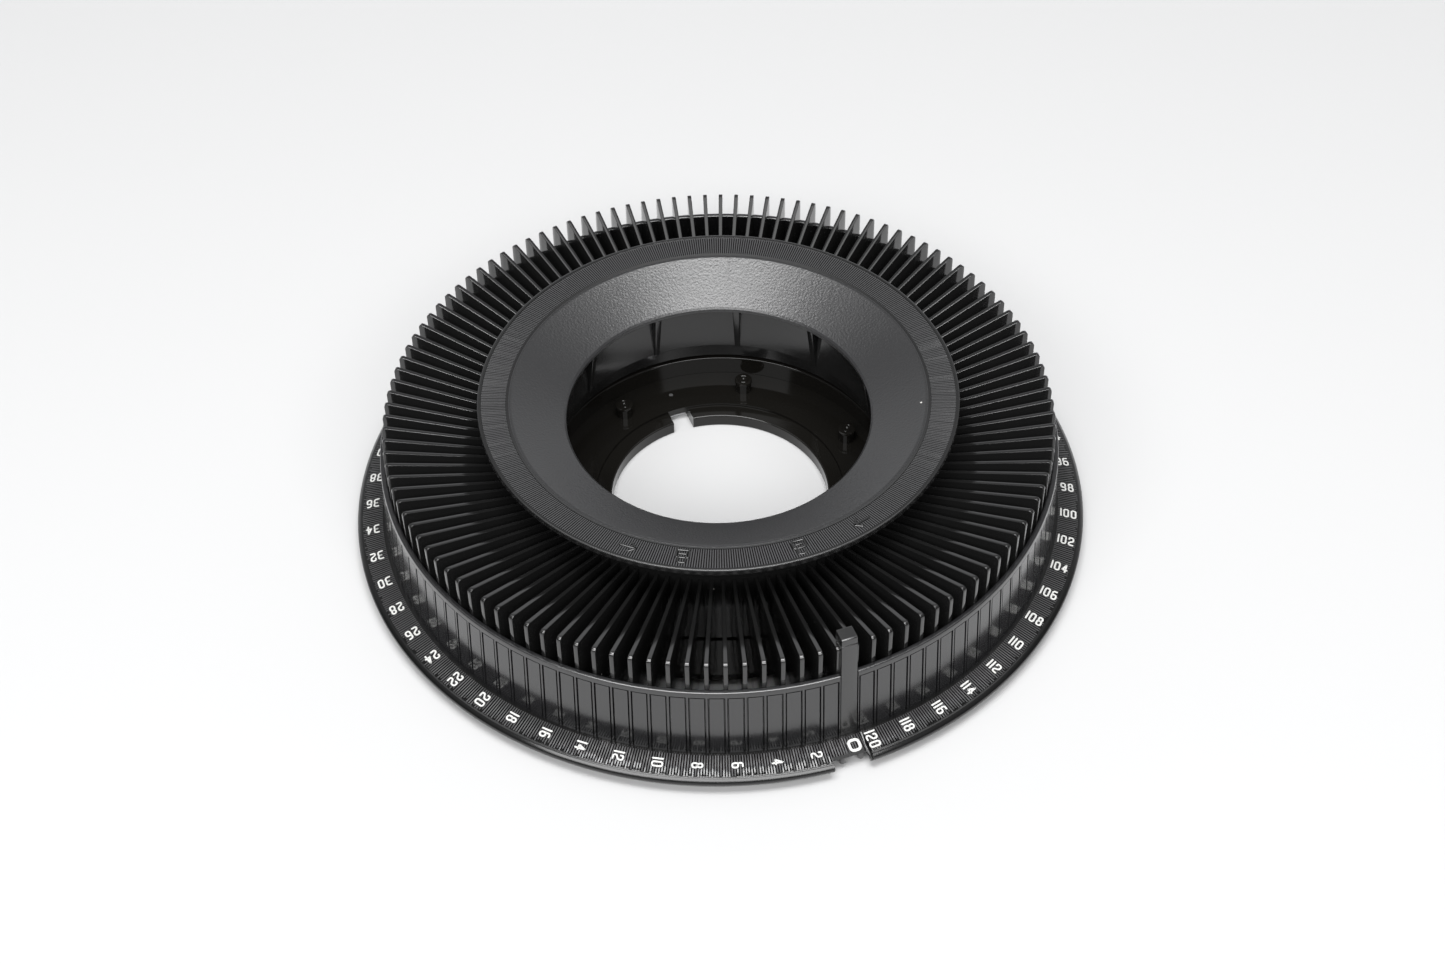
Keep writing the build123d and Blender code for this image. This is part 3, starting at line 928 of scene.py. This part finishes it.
@dataclass
class ZeroMark:
    """Tall index post at position 0, and the two pegs under the rim."""

    width: float = 3.8
    head_width: float = 3.5
    face_r: tuple[float, float] = (78.3, 76.75)
    in_r: float = 75.3
    head_in_r: float = 73.4
    head_low_z: float = 32.25
    foot_z: float = 5.2
    top_z: float = measured(high, "index_post")
    groove_z: float = 33.0
    peg_r: float = 0.8
    peg_columns: int = 24
    peg_at: float = 81.9
    peg_angles: tuple[float, float] = (-92.0, -89.1)
    peg_low: float = measured(low, "index_pegs")
    peg_top: float = 3.6

    def face(self, height: float) -> float:
        """Radius of the sloping front face at a height."""
        share = (height - self.foot_z) / (self.top_z - self.foot_z)
        return self.face_r[0] + (self.face_r[1] - self.face_r[0]) * share

    def post(self) -> Patch:
        """Builds the post as a blade whose outline is its side view: a sloping front with a groove, and a head."""
        groove, cut = self.groove_z, 0.14
        outline = rounded([
            (self.in_r + 0.5, self.foot_z, 0.05), (self.face_r[0], self.foot_z, 0.05),
            (self.face(groove - 0.2), groove - 0.2, 0.03), (self.face(groove) - cut, groove - 0.1, 0.03),
            (self.face(groove) - cut, groove + 0.1, 0.03), (self.face(groove + 0.2), groove + 0.2, 0.03),
            (self.face_r[1], self.top_z, 0.35), (self.head_in_r, self.top_z, 0.3),
            (self.head_in_r, self.head_low_z, 0.1), (self.in_r + 0.5, self.head_low_z, 0.1),
        ], 3)
        share = np.clip((outline[:, 1] - self.foot_z) / (self.top_z - self.foot_z), 0, 1)
        width = self.width + (self.head_width - self.width) * share
        return blade(outline, width, 0.12).turned([ZERO_ANGLE])

    def pegs(self) -> Patch:
        """Builds the pegs: a radius that falls to nearly nothing at both ends, turned round each peg's axis."""
        outline = np.array([
            (0.02, self.peg_low), (0.55, self.peg_low + 0.03), (0.74, self.peg_low + 0.14),
            (self.peg_r, self.peg_low + 0.35), (self.peg_r, self.peg_top), (0.02, self.peg_top)])
        one = lattice(revolved(outline, self.peg_columns), wrap_columns=True)
        return one.moved((self.peg_at, 0, 0)).turned(np.array(self.peg_angles))

    def build(self) -> None:
        """Makes the post and the pegs."""
        piece("index_block", self.post(), Finishes.POST, Body.TRAY, ("index_post",))
        piece("rim_pegs", self.pegs(), Finishes.SHELL, Body.TRAY, ("index_pegs",))


@dataclass
class Fins:
    """The 121 blades that part the slots; their tops fall towards the hub."""

    in_r: float = 45.7
    out_r: float = 76.15
    tip_r: float = 76.1
    tip_z: float = 31.95
    slope: float = 0.27
    low_z: float = measured(low, "slot_fins")
    wall_z: float = measured(high, "outer_shell")
    corner: float = 0.85
    in_t: float = 0.75
    out_t: float = 0.95
    bevel: float = 0.1

    def build(self) -> None:
        """Makes one blade and turns it to every place between two positions."""
        outline = rounded([
            (self.in_r, self.low_z, 0.0), (self.out_r, self.low_z, 0.0), (self.out_r, self.wall_z, 0.0),
            (self.tip_r, self.tip_z, self.corner), (self.in_r, self.tip_z - self.slope * (self.tip_r - self.in_r), 0.0),
        ], 6).round(6)
        keep = np.linalg.norm(np.roll(outline, -1, 0) - outline, axis=1) > 1e-4
        outline = outline[keep]
        share = (outline[:, 0] - self.in_r) / (self.out_r - self.in_r)
        one = blade(outline, self.in_t + (self.out_t - self.in_t) * share, self.bevel)
        fins = one.turned(ZERO_ANGLE + (np.arange(POSITIONS) + 0.5) * PITCH)
        piece("slot_blades", fins, Finishes.FIN, Body.TRAY, ("slot_fins",), sharp=38.0)


@dataclass
class Hub:
    """Inner and outer walls of the hub, their webs and the ribs."""

    slot_r: float = 45.7
    slot_in_r: float = 44.2
    slot_top: float = measured(high, "hub_core")
    low_z: float = measured(low, "hub_core")
    wall_r: float = 39.8
    wall_in_r: float = 38.6
    wall_low: float = measured(low, "hub_ribs")
    wall_top: float = 29.6
    taper_z: float = 14.6
    web: tuple[float, float] = (12.2, 13.8)
    bearing_r: float = 41.66
    bearing_web: tuple[float, float] = (5.2, 6.7)
    ribs: int = 12
    rib_in_r: float = 35.9

    def core(self) -> Patch:
        """Builds the hub core from its closed outline, which runs outward along its lower side."""
        r = 0.18
        outline = rounded([
            (self.slot_in_r, self.low_z, r), (self.slot_r, self.low_z, r), (self.slot_r, self.slot_top, r),
            (self.slot_in_r, self.slot_top, r), (self.slot_in_r, self.web[1], r), (self.wall_r, self.web[1], r),
            (self.wall_r, self.wall_top, r), (self.wall_in_r, self.wall_top, r),
            (self.wall_in_r, self.taper_z, 0.4), (self.wall_r - 0.35, self.wall_low, 0.15),
            (self.wall_r, self.wall_low, 0.15), (self.wall_r, self.web[0], r),
            (self.slot_in_r, self.web[0], r), (self.slot_in_r, self.bearing_web[1], r),
            (self.bearing_r, self.bearing_web[1], r), (self.bearing_r, self.bearing_web[0], r),
            (self.slot_in_r, self.bearing_web[0], r),
        ], 3)
        return ring(outline, COLUMNS)

    def rib(self) -> Patch:
        """Builds the ribs: blades that thin downward from the cone to the hub wall's lower edge."""
        top = self.wall_top - 1
        outline = rounded([
            (self.wall_in_r - 0.5, self.taper_z, 0.1), (self.wall_in_r + 0.3, self.taper_z, 0.1),
            (self.wall_in_r + 0.3, top, 0.1), (self.rib_in_r, top, 0.3),
        ], 3)
        share = (outline[:, 1] - self.wall_low) / (self.wall_top - self.wall_low)
        angles = ZERO_ANGLE + PITCH + np.arange(self.ribs) * 360.0 / self.ribs
        return blade(outline, 1.1 + 0.7 * share, 0.2).turned(angles)

    def build(self) -> None:
        """Makes the hub's pieces."""
        piece("hub_walls", self.core(), Finishes.HUB, Body.TRAY, ("hub_core",))
        piece("hub_gussets", self.rib(), Finishes.HUB, Body.TRAY, ("hub_ribs",))
        dress("bayonet_tabs", Finishes.HUB)


@dataclass
class LockRing:
    """Lock ring: ridged lip with its turning marks, grained cone and skirt."""

    lip_r: float = measured(reach, "lock_ring")
    lip_top: float = measured(high, "lock_ring")
    lip_low: float = 34.6
    lip_in_r: float = 47.0
    lip_in_z: float = 35.95
    cone_r: float = 34.45
    cone_z: float = 29.9
    cone_skin: float = 1.7
    skirt: tuple[float, float] = (41.2, 42.4)
    skirt_low: float = measured(low, "lock_ring")
    ridges: int = 611
    ridge_rise: float = 0.2
    ridge_steps: int = 4
    ridge_drop: float = 0.16
    edge_rise: float = 0.24
    knit_angle: float = 66.9
    knit_depth: float = 0.15
    mark_size: float = 1.65
    mark_r: float = 50.7
    mark_angles: tuple[float, float, float, float] = (-132.5, -119.0, -90.5, -73.5)

    def under(self, radius: float) -> float:
        """Height of the cone's underside at a radius."""
        slope = (self.lip_in_z - self.cone_z) / (self.lip_in_r - self.cone_r)
        return self.cone_z + slope * (radius - self.cone_r) - self.cone_skin

    def cone(self) -> Patch:
        """Builds the cone and the skirt under it.

        The outline is closed and runs outward along its lower side, then in over the cone to a bevelled inner edge.
        One column of the cone lies a little lower, the knit line where the plastic met in the mould.

        Returns:
            The closed ring.
        """
        inner, outer = self.skirt
        bevel = self.cone_z + self.edge_rise
        outline = rounded([
            (self.cone_r + 0.15, self.cone_z - 1.35, 0.35), (inner, self.under(inner), 0.3),
            (inner, self.skirt_low, 0.2), (outer, self.skirt_low, 0.2), (outer, self.under(outer), 0.3),
            (self.lip_in_r, self.lip_low + 0.1, 0.1), (self.lip_in_r + 0.3, self.lip_low + 0.2, 0.05),
            (self.lip_in_r + 0.3, self.lip_in_z - 0.1, 0.05), (self.lip_in_r - 0.4, self.lip_in_z - 0.2, 0.4),
            (self.cone_r + 0.65, bevel, 0.2), (self.cone_r + 0.15, bevel - 0.45, 0.2),
        ], 3)
        angle = np.arange(COLUMNS) * 360.0 / COLUMNS
        r, height = outline.T
        on_cone = (r > self.cone_r + 0.7) & (r < self.lip_in_r) & (height > self.cone_z)
        line = np.abs(angle - self.knit_angle) < 180.0 / COLUMNS
        z = outline[:, 1:] - self.knit_depth * on_cone[:, None] * line[None]
        return lattice(polar(outline[:, :1], np.radians(angle)[None], z), wrap_rows=True, wrap_columns=True)

    def lip(self) -> Patch:
        """Builds the flat lip.

        Between its two smooth edges the top lies lower by the band's drop, and it falls by the ridge height times
        what the ridge wave is under 1.

        Returns:
            The closed lip.
        """
        columns = self.ridge_steps * self.ridges
        bead_r, step_r, fall = self.lip_r - 0.75, self.lip_in_r + 0.85, self.ridge_drop
        slope = (self.lip_top - self.lip_in_z) / (bead_r - step_r)
        band = np.array([(bead_r - 0.12, 0), (bead_r - 0.2, 1), (51.0, 1), (step_r + 0.08, 1), (step_r, 0)])
        band_z = self.lip_in_z + slope * (band[:, 0] - step_r) - fall * np.array([1, 1, 1, 1, 0])
        before = rounded([
            (self.lip_in_r + 0.1, self.lip_low + 0.15, 0.05), (self.lip_r, self.lip_low, 0.35),
            (self.lip_r, self.lip_top, 0.3), (bead_r, self.lip_top, 0.12)], 2)
        after = rounded([(self.lip_in_r, self.lip_in_z, 0.3), (self.lip_in_r - 0.1, self.lip_in_z - 0.35, 0.05)], 2)
        r = np.concatenate([before[:, 0], band[:, 0], after[:, 0]])
        z = np.concatenate([before[:, 1], band_z, after[:, 1]])
        ridged = np.concatenate([np.zeros(len(before)), band[:, 1], np.zeros(len(after))])
        angle = np.arange(columns) * 360.0 / columns
        crest = ridge_wave(self.ridges, self.ridge_steps, 0.08, 7)
        z = z[:, None] - self.ridge_rise * (1.0 - crest[None]) * ridged[:, None]
        points = polar(r[:, None], np.radians(angle)[None], z)
        return lattice(points, wrap_rows=True, wrap_columns=True)

    def marks(self) -> Patch:
        """Builds the raised marks that show which way the ring locks.

        Two arrows stand outside a closed and an open padlock. A stroke point (x, y, h) goes to radius mark_r + y and
        sideways x, with its top level with the lip.

        Returns:
            All marks in one patch.
        """
        pen = Figures(stroke=0.42, corner=0.45)
        arrow = [[(-1.2, 0), (1.0, 0)], [(0.35, 0.75), (1.1, 0)], [(0.35, -0.75), (1.1, 0)]]
        body = [[(-0.85, -1.15), (0.85, -1.15), (0.85, 0.1), (-0.85, 0.1), "closed"],
                [(-0.45, -0.52), (0.45, -0.52)]]
        closed = body + [[(-0.5, 0.2), (-0.5, 0.95), (0.5, 0.95), (0.5, 0.2)]]
        opened = body + [[(-0.5, 0.2), (-0.5, 1.15), (0.5, 1.15), (0.5, 0.7)]]
        mirrored = [[(-x, y) for x, y in stroke] for stroke in arrow]
        patches = []
        for angle, drawing in zip(self.mark_angles, (arrow, closed, opened, mirrored)):
            for stroke in drawing:
                points, ends_meet = pen.carried(stroke, np.full(2, self.mark_size))
                x, y, h = np.moveaxis(points, -1, 0)
                patches.append(laid(angle, self.mark_r + y, x, self.lip_top - 0.01 + h, ends_meet))
        return joined(patches)

    def build(self) -> None:
        """Makes the ring's pieces."""
        piece("lock_marks", self.marks(), Finishes.POST, Body.LOCK, ("lock_ring",), sharp=30.0)
        piece("ridged_lip", self.lip(), Finishes.LIP, Body.LOCK, ("lock_ring",), sharp=40.0)
        piece("locking_ring", self.cone(), Finishes.GRAIN, Body.LOCK, ("lock_ring",), sharp=30.0)
        dress("lock_lugs", Finishes.GRAIN)


@dataclass
class Plate:
    """Base plate, its spindle collar and the studs."""

    hole_r: float = 25.5
    step_r: float = 29.3
    foot_r: float = measured(reach, "spindle_collar")
    step_z: float = measured(high, "spindle_collar")
    plate_low: float = measured(low, "base_plate")
    bearing: tuple[float, float] = (40.4, 41.6)
    bearing_low: float = measured(low, "plate_bearing")
    bearing_top: float = 8.6
    snap: tuple[float, float] = (42.9, 6.9)
    key_w: float = 5.0
    stud_at: float = 34.8
    stud_angle: float = 60.0
    stud_r: float = 1.95
    head_r: float = 2.12
    stud_top: float = measured(high, "plate_studs")
    studs: int = 7
    stud_columns: int = 48

    def collar(self) -> Patch:
        """Builds the collar as one long bent bar round the hole.

        Its outline is carried from one side of the key notch to the other; both ends are cut parallel to the
        notch, so a point at radius r ends where its sideways distance is half the notch.

        Returns:
            The closed collar.
        """
        outline = rounded([
            (self.hole_r, 0.0, 0.25), (self.foot_r, 0.0, 0.25), (self.foot_r, self.plate_low, 0.1),
            (self.step_r, self.plate_low, 0.1), (self.step_r, self.step_z, 0.15), (self.hole_r, self.step_z, 0.3),
        ], 3)
        share = np.linspace(0, 1, 480)[None]
        half = np.arcsin(self.key_w / 2 / outline[:, :1])
        angle = np.pi / 2 + half + (2 * np.pi - 2 * half) * share
        points = polar(outline[:, :1], angle, outline[:, 1:])
        return lattice(np.moveaxis(points, 0, 1), wrap_columns=True, ends=True).flipped()

    def tube(self) -> Patch:
        """Builds the bearing tube with the snap lip round its outside."""
        inner, outer = self.bearing
        snap_r, snap_z = self.snap
        outline = rounded([
            (inner, self.bearing_low, 0.05), (outer, self.bearing_low, 0.05), (outer, snap_z, 0.05),
            (snap_r, snap_z, 0.05), (snap_r, snap_z + 0.4, 0.1), (outer, self.bearing_top, 0.2),
            (inner, self.bearing_top, 0.35),
        ], 3)
        return ring(outline, COLUMNS)

    def stud(self) -> Patch:
        """Builds the studs: a plain shank under a flat head with a ring and a dimple cut in it."""
        top, wide = self.stud_top, self.head_r
        outline = np.array([
            (0.01, 0.3), (self.stud_r - 0.1, 0.3), (self.stud_r, 0.4), (self.stud_r, top - 0.75),
            (wide, top - 0.62), (wide, top - 0.16), (wide - 0.06, top - 0.05), (wide - 0.18, top), (1.32, top),
            (1.24, top - 0.1), (1.06, top - 0.1), (0.98, top), (0.5, top), (0.38, top - 0.12),
            (0.16, top - 0.2), (0.01, top - 0.21)])
        one = lattice(revolved(outline, self.stud_columns), wrap_columns=True)
        return one.moved((self.stud_at, 0, 0)).turned(self.stud_angle + np.arange(self.studs) * 360.0 / self.studs)

    def build(self) -> None:
        """Makes the plate's pieces."""
        dress("base_plate", Finishes.PLATE)
        piece("bearing_tube", self.tube(), Finishes.PLATE, Body.PLATE, ("plate_bearing",))
        piece("hole_collar", self.collar(), Finishes.PLATE, Body.PLATE, ("spindle_collar",))
        piece("domed_studs", self.stud(), Finishes.PLATE, Body.PLATE, ("plate_studs",))


class Latch:
    """The steel parts of the latch under the plate."""

    NODES = ("latch_bolt", "latch_keeper", "latch_peg", "latch_spring")

    def build(self) -> None:
        """Dresses the latch's nodes."""
        for node in self.NODES:
            dress(node, Finishes.STEEL)


@dataclass(frozen=True)
class Lamp:
    """A soft rectangular light that faces the tray.

    Args:
        name: name of the light.
        place: right, forward and up from the camera's side, in metres.
        size: its two sides, in metres.
        power: its power in watts.
    """

    name: str
    place: tuple[float, float, float]
    size: tuple[float, float]
    power: float


@dataclass
class Studio:
    """Floor, lights and camera.

    The camera looks at a point near the tray's axis from a distance, an azimuth from position 0 and an elevation.
    The distance and the point are in rim radii.
    """

    floor: float = 6.0
    sky_colour: Colour = (0.97, 0.98, 1.0)
    horizon: float = 0.06
    zenith: float = 0.4
    backdrop: float = 0.85
    lens: float = 55.22
    sensor: float = 36.0
    rim_r: float = measured(reach, "outer_shell")
    rim_z: float = 3.74
    distance: float = 6.1719
    elevation: float = 46.158
    azimuth: float = -19.753
    roll: float = -1.031
    target: tuple[float, float] = (0.00719, 0.03187)

    LAMPS = (
        Lamp("overhead", (0.0, -0.2, 1.2), (0.9, 0.45), 22.0),
        Lamp("camera_side", (-0.1, -1.05, 1.03), (2.2, 0.5), 40.0),
        Lamp("back", (0.0, 0.3, 1.2), (1.4, 0.5), 4.0),
    )

    def place(self, right: float, forward: float, height: float) -> tuple[float, float, float]:
        """Turns a place given from the camera's side into the row frame, in metres."""
        turn = math.radians(self.azimuth)
        x = right * math.cos(turn) - forward * math.sin(turn)
        y = right * math.sin(turn) + forward * math.cos(turn)
        return x, y, height

    def camera(self) -> None:
        """Sets the camera on its line of sight, turned about it by the roll."""
        scale = self.rim_r * MM
        tilt = math.radians(self.elevation)
        right, forward = (v * scale for v in self.target)
        back = self.distance * scale
        data = bpy.data.cameras.new("camera")
        data.lens = self.lens
        data.sensor_width = self.sensor
        camera = placed("camera", data)
        camera.location = self.place(right, forward - back * math.cos(tilt), self.rim_z * MM + back * math.sin(tilt))
        view = Matrix.Rotation(math.radians(self.azimuth), 4, "Z")
        view = view @ Matrix.Rotation(math.radians(90) - tilt, 4, "X")
        view = view @ Matrix.Rotation(math.radians(self.roll), 4, "Z")
        camera.rotation_euler = view.to_euler()
        bpy.context.scene.camera = camera

    def hang(self, lamp: Lamp) -> None:
        """Hangs a light."""
        data = bpy.data.lights.new(lamp.name, "AREA")
        data.shape = "RECTANGLE"
        data.size, data.size_y = lamp.size
        data.energy = lamp.power
        light = placed(lamp.name, data)
        light.location = self.place(*lamp.place)
        aim = Vector((0.0, 0.0, 0.0)) - light.location
        light.rotation_euler = aim.to_track_quat("-Z", "Y").to_euler()

    @staticmethod
    def ramp(tree: Tree, value: Socket, span: tuple[float, float], results: tuple[float, float]) -> Socket:
        """Adds a smooth step from one result to the other as the linked number crosses the span."""
        labels = ("Value", "From Min", "From Max", "To Min", "To Max")
        inputs = dict(zip(labels, (value, *span, *results)))
        return Group.add(tree, "MapRange", inputs, interpolation_type="SMOOTHSTEP").outputs["Result"]

    def sky(self) -> None:
        """Sets a pale sky that is dim near the horizon, but bright there behind the tray like a paper backdrop."""
        world = bpy.data.worlds.new("studio")
        world.use_nodes = True
        tree = world.node_tree
        where = Group.add(tree, "TexCoord").outputs["Generated"]
        height = Group.add(tree, "SeparateXYZ", {0: where}).outputs["Z"]
        inputs = {0: where, 1: self.place(0.0, 1.0, 0.0)}
        away = Group.add(tree, "VectorMath", inputs, operation="DOT_PRODUCT").outputs["Value"]
        above = self.ramp(tree, height, (0.3, 0.62), (self.horizon, self.zenith))
        behind = self.ramp(tree, away, (0.2, 0.7), (0.0, self.backdrop))
        below = self.ramp(tree, height, (0.45, 0.62), (1.0, 0.0))
        background = tree.nodes["Background"].inputs
        paper = Group.math(tree, "MULTIPLY", behind, below)
        tree.links.new(Group.math(tree, "ADD", above, paper), background["Strength"])
        background["Color"].default_value = (*self.sky_colour, 1)
        bpy.context.scene.world = world

    def build(self) -> None:
        """Makes the floor, the world, the lights and the camera."""
        half = self.floor / 2
        mesh = bpy.data.meshes.new("floor")
        mesh.from_pydata([(-half, -half, 0), (half, -half, 0), (half, half, 0), (-half, half, 0)], [], [(0, 1, 2, 3)])
        mesh.materials.append(Finishes.FLOOR.material())
        placed("floor", mesh)
        self.sky()
        bpy.context.scene.view_settings.view_transform = "Standard"
        for lamp in self.LAMPS:
            self.hang(lamp)
        self.camera()
        log.info("studio ready")


def main() -> None:
    """Builds the tray and its studio."""
    logging.basicConfig(level=logging.INFO, format="%(message)s")
    for part in (Studio(), Shell(), ZeroMark(), Fins(), Hub(), LockRing(), Plate(), Latch()):
        part.build()


if __name__ == "__main__":
    main()
